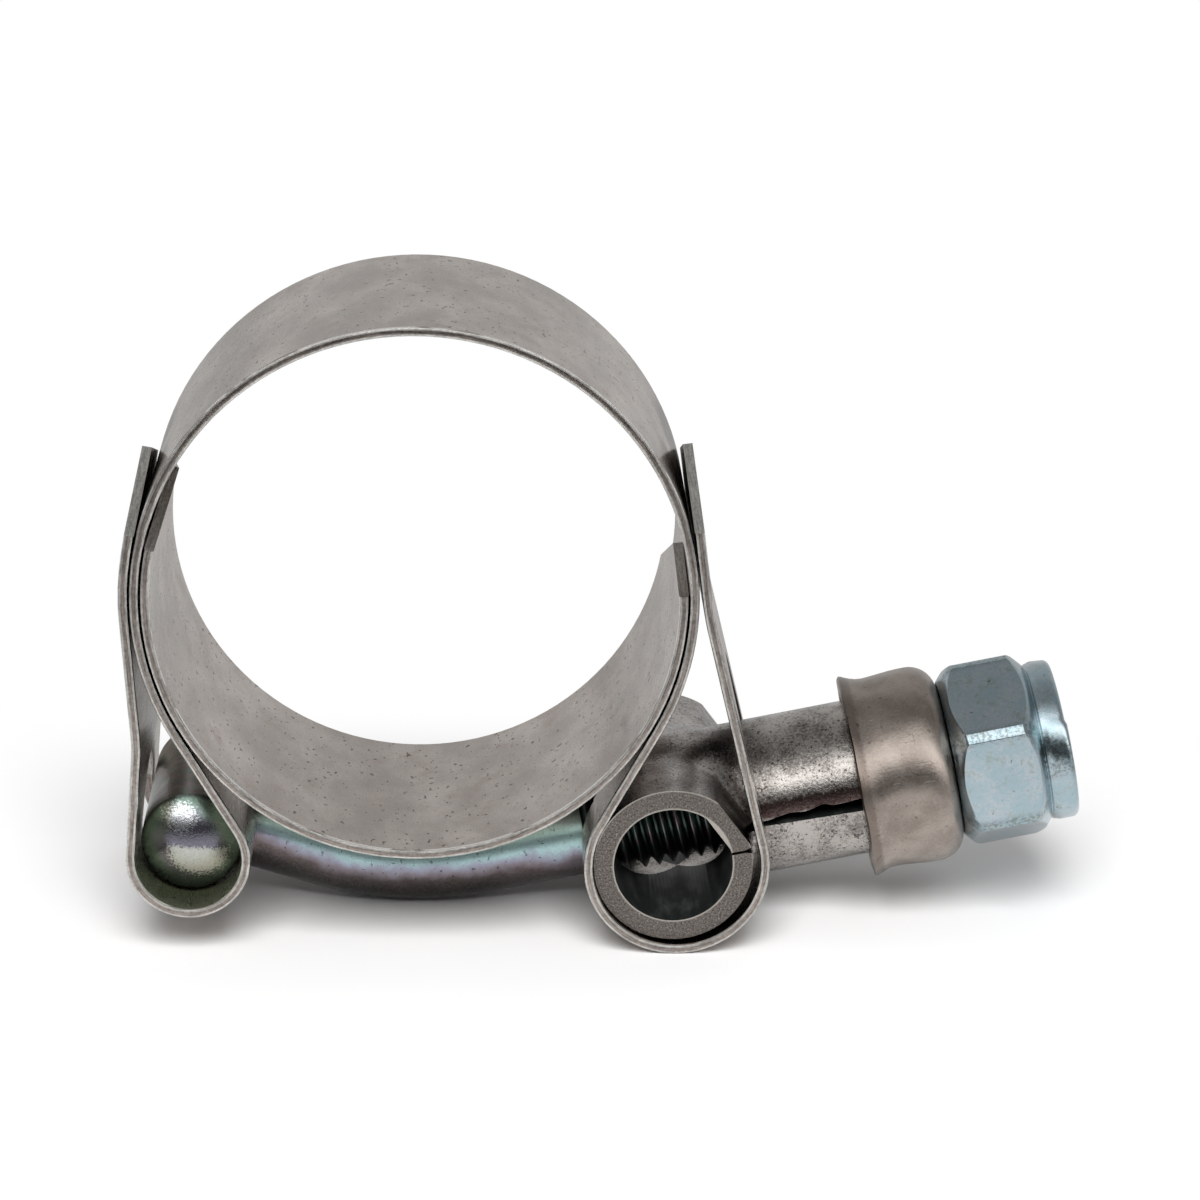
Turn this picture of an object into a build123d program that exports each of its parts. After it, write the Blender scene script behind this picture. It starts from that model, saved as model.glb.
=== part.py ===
from build123d import *
import os
from math import acos, atan2, cos, degrees, hypot, radians, sin, tan

# T-bolt band clamp. Millimetres. The hose runs along Y, Z is up and the origin is the bore centre.
# The tightening gear hangs under the ring: the bolt's T-head on the left, the trunnion on the right.

# Ring
bore_diameter = 32.0
band_width = 19.05
band_thickness = 0.6
bridge_thickness = 0.6
bridge_gap = 0.06

# Loops at the two ends of the band, hanging level so that both rest on one plane
rest_drop = 21.6
head_loop_x = -12.65
trunnion_loop_x = 17.5
trunnion_loop_play = 0.25
trunnion_lean = 0.2
weld_gap = 0.06
weld_diameter = 3.0
weld_pitch = 8.0

# Tails: where each touches the ring, how it runs from there to its loop, and how its end is cut
head_tail_angle = 5.5
head_tail_reach = 5.0
head_run_angle = -8.5
head_waist_radius = 10.0
head_waist_angle = 0.0
trunnion_tail_angle = 12.0
trunnion_tail_bend = 3.2
trunnion_tail_bend_radius = 14.0
trunnion_tail_reach = 6.1
tail_point_offset = 3.0
tail_point_height = 3.8

# Slots through the loops
head_slot_width = 7.6
head_slot_up_tail = -0.6
head_slot_up_leg = -1.4
trunnion_slot_clearance = 0.35
trunnion_slot_up_tail = 4.2
trunnion_slot_up_leg = -1.5

# Bridge under the gap in the ring, given by the angles of its pointed ends
bridge_left_end = 159.5
bridge_right_end = 12.0
bridge_left_point = 3.8
bridge_right_near_point = 1.6
bridge_right_far_point = 5.0
bridge_point_offset = 3.5

# T-bolt, 1/4-28
thread_diameter = 6.35
thread_chamfer = 0.7
shank_diameter = 5.7
shank_bend_radius = 19.5
shank_angle = 12.6
bolt_angle = 16.3
head_diameter = 6.3
head_length = 14.6
head_dome_height = 1.1
head_clearance = 0.12
thread_start = 5.6
bolt_end_inset = 0.6

# Trunnion, rolled and folded from one thick sheet
trunnion_diameter = 9.9
trunnion_length = 18.0
trunnion_wall = 1.25
stem_slit = 0.35
lip_slit = 0.12
lip_flat_start = 62.0
lip_flat_end = 21.0
stem_chamfer = 0.6

# Cap washer, drawn over the end of the stem
cap_reach = 18.45
cap_length = 6.15
cap_bore_clearance = 0.2
cap_wall = 0.95
cap_rim_flare = 0.4
cap_rim_lip = 0.2
cap_rim_height = 0.9
cap_bulge = 0.18
cap_shoulder_radius = 1.75
cap_hole_clearance = 0.25
cap_seat_clearance = 0.15

# Lock nut, 7/16 across flats with a crimped collar
nut_across_flats = 10.87
nut_hex_length = 5.7
nut_collar_diameter = 10.15
nut_collar_length = 1.8
nut_collar_chamfer = 0.45
nut_face_diameter = 9.7
nut_chamfer_angle = 38.0
nut_across_corners = 12.2
nut_bore_clearance = 0.12
nut_countersink = 0.35
nut_turn = 30.0

# Turns, and how far the shapes that cut reach past what they cut
full_turn = 360.0
cut_margin = 1.0

# Sizes that follow
bore_radius = bore_diameter / 2
bridge_outer = bore_radius + bridge_thickness
band_inner = bridge_outer + bridge_gap
ring_radius = band_inner + band_thickness / 2
band_outer = band_inner + band_thickness
tail_radius = band_outer + weld_gap + band_thickness / 2
head_loop_radius = head_diameter / 2 + head_clearance + band_thickness / 2
trunnion_loop_radius = trunnion_diameter / 2 + trunnion_loop_play + band_thickness / 2
head_centre = (head_loop_x, head_loop_radius + band_thickness / 2 - rest_drop)
trunnion_loop_centre = (trunnion_loop_x, trunnion_loop_radius + band_thickness / 2 - rest_drop)
bolt_way = (cos(radians(bolt_angle)), sin(radians(bolt_angle)))
trunnion_centre = (
    trunnion_loop_centre[0] - trunnion_lean * bolt_way[0],
    trunnion_loop_centre[1] - trunnion_lean * bolt_way[1],
)
stem_bore_radius = trunnion_diameter / 2 - trunnion_wall
stem_slot_width = trunnion_diameter + 2 * trunnion_slot_clearance
stem_end = cap_reach - cap_wall - cap_seat_clearance
nut_end = cap_reach + nut_hex_length + nut_collar_length
bolt_end = nut_end - bolt_end_inset


def at(point):
    """A point of the side view, in the plane y = 0."""
    return Vector(point[0], 0, point[1])


def ray(angle):
    return (cos(radians(angle)), sin(radians(angle)))


def beyond(start, way, distance):
    return (start[0] + way[0] * distance, start[1] + way[1] * distance)


def crossing(angle_a, offset_a, angle_b, offset_b):
    """Where two lines meet, each given by the angle of its normal and its distance from the origin."""
    a = ray(angle_a)
    b = ray(angle_b)
    turn = a[0] * b[1] - a[1] * b[0]
    x = (offset_a * b[1] - offset_b * a[1]) / turn
    z = (offset_b * a[0] - offset_a * b[0]) / turn
    return (x, z)


def along_bolt(distance):
    """A point on the bolt's straight axis, at a distance from the trunnion's centre."""
    return beyond(trunnion_centre, bolt_way, distance)


def bolt_plane(distance):
    """The plane across the bolt at a distance along it, with its normal towards the nut."""
    return Plane(at(along_bolt(distance)), x_dir=(0, 1, 0), z_dir=at(bolt_way))


class End:
    """One end of the band, worked out on the right-hand side; side is -1 where it is mirrored."""

    def __init__(self, side, centre, radius):
        self.side = side
        self.centre = (side * centre[0], centre[1])
        self.radius = radius
        distance = hypot(*self.centre)
        lean = degrees(acos((ring_radius + radius) / distance))
        self.leave_angle = degrees(atan2(self.centre[1], self.centre[0])) + lean
        self.meet_angle = self.leave_angle + 180
        self.lines = []
        self.bends = []

    def add_tail(self, angle, reach):
        """The flat top of the tail, which touches the ring at an angle."""
        self.lines.append((angle, tail_radius))
        self.tip = beyond(beyond((0, 0), ray(angle), tail_radius), ray(angle + 90), reach)

    def add_run(self, bend_radius, angle, offset):
        """The next straight part, given by its normal, with the bend that leads to it."""
        self.lines.append((angle, offset))
        self.bends.append(bend_radius)

    def add_run_to_loop(self, bend_radius, angle):
        """The last straight part: it meets the loop where the loop's normal has this angle."""
        offset = self.centre[0] * ray(angle)[0] + self.centre[1] * ray(angle)[1] + self.radius
        self.add_run(bend_radius, angle, offset)

    def tangent_angle(self, point):
        """The normal of the line from a point of the tail that runs into the loop."""
        away = (point[0] - self.centre[0], point[1] - self.centre[1])
        return degrees(atan2(away[1], away[0]) - acos(self.radius / hypot(*away)))

    def loop(self, shift, angle):
        return beyond(self.centre, ray(angle), self.radius - shift)

    def leave(self, shift):
        """Where the leg leaves the ring."""
        return beyond((0, 0), ray(self.leave_angle), ring_radius + shift)

    def place(self, point):
        return at((self.side * point[0], point[1]))

    def arc(self, middle, size, start, end):
        """An arc between two angles; a size below zero puts its middle outside the loop."""
        angles = (start, (start + end) / 2, end)
        return ThreePointArc(*[self.place(beyond(middle, ray(angle), size)) for angle in angles])

    def curve(self, shift):
        """The end from its tip to the ring, on the face that lies shift outside the ring's middle."""
        edges = []
        point = self.place(beyond(self.tip, ray(self.lines[0][0]), -shift))
        for number, radius in enumerate(self.bends):
            angle, offset = self.lines[number]
            next_angle, next_offset = self.lines[number + 1]
            size = radius if angle > next_angle else -radius
            middle = crossing(angle, offset - size, next_angle, next_offset - size)
            bend = self.arc(middle, size - shift, angle, next_angle)
            edges += [Line(point, bend @ 0), bend]
            point = bend @ 1
        first = self.lines[-1][0] + full_turn
        loop = self.arc(self.centre, self.radius - shift, first, self.meet_angle)
        leg = Line(loop @ 1, self.place(self.leave(shift)))
        return edges + [Line(point, loop @ 0), loop, leg]

    def point(self, strip):
        """Cut the tail to a point without touching the ring that lies under it."""
        inner = -(band_thickness + weld_gap) / 2
        plane = Plane(
            self.place(beyond(self.tip, ray(self.lines[0][0]), inner)),
            x_dir=(0, 1, 0),
            z_dir=self.place(ray(self.lines[0][0])) * self.side,
        )
        outline = point_outline(tail_point_height, tail_point_height, tail_point_offset)
        return strip - extrude(plane * outline, self.side * 2 * band_thickness)

    def window(self, width, up_tail, up_leg):
        """The slot through the loop, from the tail round the bottom to the leg, with round ends."""
        depth = 3 * band_thickness
        run = self.lines[-1][0]
        first = run + full_turn
        outer = self.arc(self.centre, self.radius + depth, first, self.meet_angle)
        inner = self.arc(self.centre, self.radius - depth, first, self.meet_angle)
        rim = [outer, Line(outer @ 1, inner @ 1), inner, Line(inner @ 0, outer @ 0)]
        cuts = extrude(make_face(rim), width / 2, dir=(0, 1, 0), both=True)
        ends = ((run, run + 90, up_tail), (self.meet_angle, self.meet_angle - 90, up_leg))
        for angle, way, reach in ends:
            start = self.loop(0, angle)
            top = Plane(
                self.place(beyond(start, ray(way), reach)),
                x_dir=(0, 1, 0),
                z_dir=self.place(ray(angle)),
            )
            cuts += extrude(top * Circle(width / 2), depth, both=True)
            if reach > 0:
                middle = Plane(
                    self.place(beyond(start, ray(way), reach / 2)), x_dir=(0, 1, 0), z_dir=top.z_dir
                )
                cuts += extrude(middle * Rectangle(width, reach), depth, both=True)
        return cuts


head_end = End(-1, head_centre, head_loop_radius)
head_end.add_tail(head_tail_angle, head_tail_reach)
head_end.add_run(tail_radius, head_run_angle, tail_radius)
head_end.add_run_to_loop(head_waist_radius, head_waist_angle)
trunnion_end = End(1, trunnion_loop_centre, trunnion_loop_radius)
trunnion_end.add_tail(trunnion_tail_angle, trunnion_tail_reach)
trunnion_touch = beyond((0, 0), ray(trunnion_tail_angle), tail_radius)
trunnion_knee = beyond(trunnion_touch, ray(trunnion_tail_angle - 90), trunnion_tail_bend)
trunnion_end.add_run_to_loop(trunnion_tail_bend_radius, trunnion_end.tangent_angle(trunnion_knee))


def point_outline(near_height, far_height, offset):
    """What is cut off a strip to leave a pointed end: x towards the far edge, y towards the point."""
    edge = band_width / 2
    side = edge + cut_margin
    near_slope = near_height / (edge - offset)
    far_slope = far_height / (edge + offset)
    outline = Polyline(
        (-side, -near_height - near_slope * cut_margin),
        (-offset, 0),
        (side, -far_height - far_slope * cut_margin),
        (side, cut_margin),
        (-side, cut_margin),
        close=True,
    )
    return make_face(outline)


def make_band():
    """One strip: ring, two loops, and two tails spot-welded to the ring's outside."""
    half = band_thickness / 2
    top = (0, ring_radius)
    outside = head_end.curve(half) + trunnion_end.curve(half)
    inside = head_end.curve(-half) + trunnion_end.curve(-half)
    rings = [
        ThreePointArc(
            head_end.place(head_end.leave(shift)),
            at(beyond(top, (0, 1), shift)),
            trunnion_end.place(trunnion_end.leave(shift)),
        )
        for shift in (half, -half)
    ]
    tips = [
        Line(
            end.place(beyond(end.tip, ray(end.lines[0][0]), -half)),
            end.place(beyond(end.tip, ray(end.lines[0][0]), half)),
        )
        for end in (head_end, trunnion_end)
    ]
    strip = extrude(
        make_face(outside + inside + rings + tips), band_width / 2, dir=(0, 1, 0), both=True
    )
    for end in (head_end, trunnion_end):
        way = ray(end.lines[0][0])
        weld = end.place(beyond((0, 0), way, band_outer - half / 2))
        spots = Plane(weld, x_dir=(0, 1, 0), z_dir=end.place(way))
        for place in (-weld_pitch / 2, weld_pitch / 2):
            spot = Pos(place, 0, 0) * Cylinder(
                weld_diameter / 2, band_thickness, align=(Align.CENTER, Align.CENTER, Align.MIN)
            )
            strip += spots * spot
        strip = end.point(strip)
    strip -= head_end.window(head_slot_width, head_slot_up_tail, head_slot_up_leg)
    return strip - trunnion_end.window(stem_slot_width, trunnion_slot_up_tail, trunnion_slot_up_leg)


def make_bridge():
    """The liner that closes the gap under the ring, with a pointed tongue at each end."""
    left = bridge_left_end
    right = bridge_right_end + full_turn
    middle = (left + right) / 2
    outline = [
        ThreePointArc(*[at(beyond((0, 0), ray(a), bridge_outer)) for a in (left, middle, right)]),
        ThreePointArc(*[at(beyond((0, 0), ray(a), bore_radius)) for a in (left, middle, right)]),
    ]
    for angle in (left, right):
        outline.append(
            Line(
                at(beyond((0, 0), ray(angle), bore_radius)),
                at(beyond((0, 0), ray(angle), bridge_outer)),
            )
        )
    liner = extrude(make_face(outline), band_width / 2, dir=(0, 1, 0), both=True)
    middle_radius = (bore_radius + bridge_outer) / 2
    cuts = (
        (left, -1, bridge_left_point, bridge_left_point),
        (right, 1, bridge_right_near_point, bridge_right_far_point),
    )
    for angle, side, near, far in cuts:
        origin = at(beyond((0, 0), ray(angle), middle_radius))
        normal = at(ray(angle)) * side
        plane = Plane(origin, x_dir=(0, 1, 0), z_dir=normal)
        outline = point_outline(near, far, bridge_point_offset)
        liner -= extrude(plane * outline, 2 * bridge_thickness, both=True)
    return liner


def make_t_bolt():
    """Forged T-head, shank bent to follow the ring, and a straight threaded end."""
    radius = head_diameter / 2
    half = head_length / 2
    rim = half - head_dome_height
    profile = make_face(
        [
            Line((0, -half, 0), (0, half, 0)),
            TangentArc((0, half, 0), (radius, rim, 0), tangent=(1, 0, 0)),
            Line((radius, rim, 0), (radius, -rim, 0)),
            TangentArc((0, -half, 0), (radius, -rim, 0), tangent=(1, 0, 0)),
        ]
    )
    head = Pos(at(head_centre)) * revolve(profile, Axis.Y)
    shank_way = ray(-shank_angle)
    bolt_normal = bolt_angle + 90
    shank_normal = 90 - shank_angle
    bolt_offset = (
        trunnion_centre[0] * ray(bolt_normal)[0] + trunnion_centre[1] * ray(bolt_normal)[1]
    )
    shank_offset = head_centre[0] * ray(shank_normal)[0] + head_centre[1] * ray(shank_normal)[1]
    knee = crossing(bolt_normal, bolt_offset, shank_normal, shank_offset)
    start = along_bolt(-thread_start)
    route = FilletPolyline(at(head_centre), at(knee), at(start), radius=shank_bend_radius)
    section = Plane(at(head_centre), x_dir=(0, 1, 0), z_dir=at(shank_way)) * Circle(shank_diameter / 2)
    shank = sweep(section, path=route)
    rod = Cylinder(
        thread_diameter / 2,
        bolt_end + thread_start,
        align=(Align.CENTER, Align.CENTER, Align.MIN),
    )
    rod = chamfer(rod.edges().filter_by(GeomType.CIRCLE), thread_chamfer / 2)
    thread = bolt_plane(-thread_start) * rod
    return head + shank + thread


def make_trunnion():
    """Barrel for the loop and a split stem for the bolt, folded from one sheet."""
    outer = trunnion_diameter / 2
    inner = outer - trunnion_wall
    lips = []
    for radius in (outer, inner):
        low = bolt_angle + full_turn
        start = beyond(trunnion_centre, ray(lip_flat_start), radius)
        lips.append(
            [
                ThreePointArc(
                    at(start),
                    at(beyond(trunnion_centre, ray((lip_flat_start + low) / 2), radius)),
                    at(beyond(trunnion_centre, ray(low), radius)),
                ),
                Line(
                    at(beyond(trunnion_centre, ray(low), radius)),
                    at(beyond(trunnion_centre, ray(lip_flat_end), radius)),
                ),
                Line(at(beyond(trunnion_centre, ray(lip_flat_end), radius)), at(start)),
            ]
        )
    half_length = trunnion_length / 2
    barrel = extrude(make_face(lips[0]), half_length, dir=(0, 1, 0), both=True)
    hollow = extrude(make_face(lips[1]), half_length + cut_margin, dir=(0, 1, 0), both=True)
    stem = Cylinder(outer, stem_end, align=(Align.CENTER, Align.CENTER, Align.MIN))
    stem = chamfer(stem.edges().filter_by(GeomType.CIRCLE).sort_by(Axis.Z)[-1], stem_chamfer)
    stem = bolt_plane(0) * stem
    body = barrel + stem
    bore = bolt_plane(-outer - cut_margin) * Cylinder(
        stem_bore_radius,
        outer + stem_end + 2 * cut_margin,
        align=(Align.CENTER, Align.CENTER, Align.MIN),
    )
    slit = bolt_plane(inner / 2) * Box(
        trunnion_diameter + cut_margin,
        stem_slit,
        stem_end,
        align=(Align.CENTER, Align.CENTER, Align.MIN),
    )
    seam = bolt_plane(inner / 2) * Box(
        trunnion_length + cut_margin,
        lip_slit,
        outer,
        align=(Align.CENTER, Align.CENTER, Align.MIN),
    )
    return body - hollow - bore - slit - seam


def make_cap_washer():
    """Drawn cup over the stem's end: flared rim, wall that swells a little, round shoulder, flat face."""
    mouth = trunnion_diameter / 2 + cap_bore_clearance
    wall = mouth + cap_wall
    belly = wall + cap_bulge
    hole = thread_diameter / 2 + cap_hole_clearance
    flat = belly - cap_shoulder_radius
    shoulder = cap_length - cap_shoulder_radius
    corner = cap_shoulder_radius - cap_wall
    seat = cap_length - cap_wall
    waist = cap_rim_lip + cap_rim_height
    outline = [
        Line((mouth + cap_rim_flare, 0), (wall + cap_rim_flare, 0)),
        Line((wall + cap_rim_flare, 0), (wall + cap_rim_flare, cap_rim_lip)),
        Line((wall + cap_rim_flare, cap_rim_lip), (wall, waist)),
        Line((wall, waist), (belly, shoulder)),
        TangentArc((belly, shoulder), (flat, cap_length), tangent=(0, 1)),
        Line((flat, cap_length), (hole, cap_length)),
        Line((hole, cap_length), (hole, seat)),
        Line((hole, seat), (mouth - corner, seat)),
        Line((mouth - corner, seat), (mouth, seat - corner)),
        Line((mouth, seat - corner), (mouth, cap_rim_height)),
        Line((mouth, cap_rim_height), (mouth + cap_rim_flare, 0)),
    ]
    section = Plane.XZ * make_face(outline)
    return bolt_plane(cap_reach - cap_length) * revolve(section, Axis.Z)


def make_lock_nut():
    """Hexagon nut, turned at its corners, with the round collar that is crimped onto the thread."""
    corner = nut_across_corners / 2
    face = nut_face_diameter / 2
    drop = (corner - face) * tan(radians(nut_chamfer_angle))
    blank = Polyline(
        (0, 0),
        (face, 0),
        (corner, drop),
        (corner, nut_hex_length - drop),
        (face, nut_hex_length),
        (0, nut_hex_length),
        close=True,
    )
    hexagon = extrude(RegularPolygon(nut_across_flats / 2, 6, major_radius=False), nut_hex_length)
    collar = Pos(0, 0, nut_hex_length) * Cylinder(
        nut_collar_diameter / 2,
        nut_collar_length,
        align=(Align.CENTER, Align.CENTER, Align.MIN),
    )
    collar = chamfer(collar.edges().filter_by(GeomType.CIRCLE).sort_by(Axis.Z)[-1], nut_collar_chamfer)
    hole = thread_diameter / 2 + nut_bore_clearance
    bore = Cylinder(
        hole,
        nut_hex_length + nut_collar_length,
        align=(Align.CENTER, Align.CENTER, Align.MIN),
    )
    mouth = Cone(
        hole + nut_countersink,
        hole,
        nut_countersink,
        align=(Align.CENTER, Align.CENTER, Align.MIN),
    )
    turned = revolve(Plane.XZ * make_face(blank), Axis.Z)
    nut = (hexagon & turned) + collar - bore - mouth
    return bolt_plane(cap_reach) * Rot(0, 0, nut_turn) * nut


os.makedirs("parts", exist_ok=True)
nodes = {
    "band": make_band(),
    "bridge": make_bridge(),
    "t_bolt": make_t_bolt(),
    "trunnion": make_trunnion(),
    "cap_washer": make_cap_washer(),
    "lock_nut": make_lock_nut(),
}
for name, shape in nodes.items():
    export_step(shape, f"parts/{name}.step")
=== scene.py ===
import bmesh
import bpy
from math import asin, atan2, cos, degrees, hypot, radians, sin, tan
from mathutils import Matrix, Vector, kdtree, noise


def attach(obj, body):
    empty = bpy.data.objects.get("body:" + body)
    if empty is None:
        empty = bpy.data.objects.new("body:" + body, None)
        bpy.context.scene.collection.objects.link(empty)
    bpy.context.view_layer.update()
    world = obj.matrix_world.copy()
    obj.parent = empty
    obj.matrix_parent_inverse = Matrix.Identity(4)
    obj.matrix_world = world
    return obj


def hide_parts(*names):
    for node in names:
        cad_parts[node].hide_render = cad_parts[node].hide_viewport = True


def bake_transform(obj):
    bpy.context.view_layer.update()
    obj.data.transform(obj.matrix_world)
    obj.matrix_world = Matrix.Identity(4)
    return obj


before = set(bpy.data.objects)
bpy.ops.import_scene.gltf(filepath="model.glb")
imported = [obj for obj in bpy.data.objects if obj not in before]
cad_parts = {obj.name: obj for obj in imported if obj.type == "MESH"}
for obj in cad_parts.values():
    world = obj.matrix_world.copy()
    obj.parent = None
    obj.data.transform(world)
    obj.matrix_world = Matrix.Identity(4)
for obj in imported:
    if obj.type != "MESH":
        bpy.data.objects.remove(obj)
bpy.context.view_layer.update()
mm = 0.001
mergeReach = 0.002  # points nearer to each other than this, in millimetres, become one

# The clamp's side view in millimetres and degrees: x to the right, z up, the bore's centre at 0
layout = {
    "headCentre": (-12.65, -17.73),
    "trunnionCentre": (17.308, -15.856),
    "boltAngle": 16.3,
    "bandWidth": 19.05,
    "capReach": 18.45,  # from the trunnion's middle to the cap's outer face, along the bolt
    "capLength": 6.15,
    "restTilt": 4.55,  # of the floor, which touches the shank and the right-hand loop
    "restPoint": (17.96, -21.59),
}
hoseWay = Vector((0, 1, 0))


def ray(angle):
    return Vector((cos(radians(angle)), 0, sin(radians(angle))))


def spot(point):
    return Vector((point[0], 0, point[1]))


boltWay = ray(layout["boltAngle"])
boltUp = ray(layout["boltAngle"] + 90)
headPoint = spot(layout["headCentre"])
trunnionPoint = spot(layout["trunnionCentre"])


def fresh():  # nothing stays selected when the next piece is added
    if bpy.context.object and bpy.context.object.mode == "EDIT":
        bpy.ops.object.mode_set(mode="OBJECT")
    bpy.ops.object.select_all(action="DESELECT")


def named(name):
    piece = bpy.context.object
    piece.name = name
    piece.data.name = name
    return piece


def takeUp(piece):
    fresh()
    piece.select_set(True)
    bpy.context.view_layer.objects.active = piece


def edit():
    bpy.ops.object.mode_set(mode="EDIT")


def done():
    bpy.ops.object.mode_set(mode="OBJECT")


def pick(kind, test):  # selects the open mesh's faces, edges or verts that pass a test
    bpy.ops.mesh.select_mode(type={"faces": "FACE", "edges": "EDGE", "verts": "VERT"}[kind])
    bpy.ops.mesh.select_all(action="DESELECT")
    net = bmesh.from_edit_mesh(bpy.context.object.data)
    for item in getattr(net, kind):
        if test(item):
            item.select_set(True)
    bmesh.update_edit_mesh(bpy.context.object.data)


def settle():  # the object's place goes into its mesh
    bpy.ops.object.transform_apply(location=True, rotation=True, scale=True)


def lay(piece, matrix):
    takeUp(piece)
    piece.matrix_world = matrix
    settle()


def facing(middle, across, up):  # local x along across, local y along up, local z the rest
    across = across.normalized()
    up = up.normalized()
    out = across.cross(up)
    return Matrix.Translation(middle * mm) @ Matrix((across, up, out)).transposed().to_4x4()


def alongBolt(distance):  # local z towards the nut, local x along the hose, at a distance from the trunnion
    return facing(trunnionPoint + boltWay * distance, hoseWay, boltWay.cross(hoseWay))


def push(way):
    bpy.ops.mesh.extrude_region_move(TRANSFORM_OT_translate={"value": way * mm})


def outwards():
    bpy.ops.mesh.select_all(action="SELECT")
    bpy.ops.mesh.remove_doubles(threshold=mergeReach * mm)
    bpy.ops.mesh.normals_make_consistent(inside=False)


def modify(piece, kind, **settings):
    takeUp(piece)
    bpy.ops.object.modifier_add(type=kind)
    modifier = piece.modifiers[-1]
    for key, value in settings.items():
        setattr(modifier, key, value)
    bpy.ops.object.modifier_apply(modifier=modifier.name)


def combine(piece, other, operation):
    modify(piece, "BOOLEAN", operation=operation, object=other, solver="MANIFOLD")
    takeUp(other)
    bpy.ops.object.delete()
    takeUp(piece)


def shade(piece, angle=38):
    takeUp(piece)
    bpy.ops.object.shade_smooth_by_angle(angle=radians(angle))
    modify(piece, "WEIGHTED_NORMAL", keep_sharp=True, weight=80)


def sound(piece):  # reports whether a piece is closed
    net = bmesh.new()
    net.from_mesh(piece.data)
    loose = sum(1 for edge in net.edges if not edge.is_manifold)
    volume = round(net.calc_volume(signed=True) / mm**3, 1)
    print(piece.name, "faces", len(net.faces), "open edges", loose, "volume mm3", volume)
    net.free()


def stamp(piece, name, measure):  # keeps a vector for the finish on each point
    values = piece.data.attributes.new(name, "FLOAT_VECTOR", "POINT")
    for vert in piece.data.vertices:
        values.data[vert.index].vector = measure(vert)


def rod(name, radius, low, high, matrix=Matrix.Identity(4), vertices=96):
    fresh()
    bpy.ops.mesh.primitive_cylinder_add(
        vertices=vertices, radius=radius * mm, depth=(high - low) * mm, location=(0, 0, (low + high) / 2 * mm)
    )
    piece = named(name)
    settle()
    lay(piece, matrix)
    return piece


def upright(edge):  # an edge along the mesh's own z
    return abs((edge.verts[0].co - edge.verts[1].co).normalized().z) > 0.9


stripWork = {
    "markStep": 0.25,
    "cornerInset": 0.3,
    "tipReach": 0.6,
    "flat": 0.97,  # how squarely a face lies, to be the strip's, its rim or its long edge
    "rim": 0.5,
    "edge": 0.95,
    "slotDepth": 2.4,
}


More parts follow.
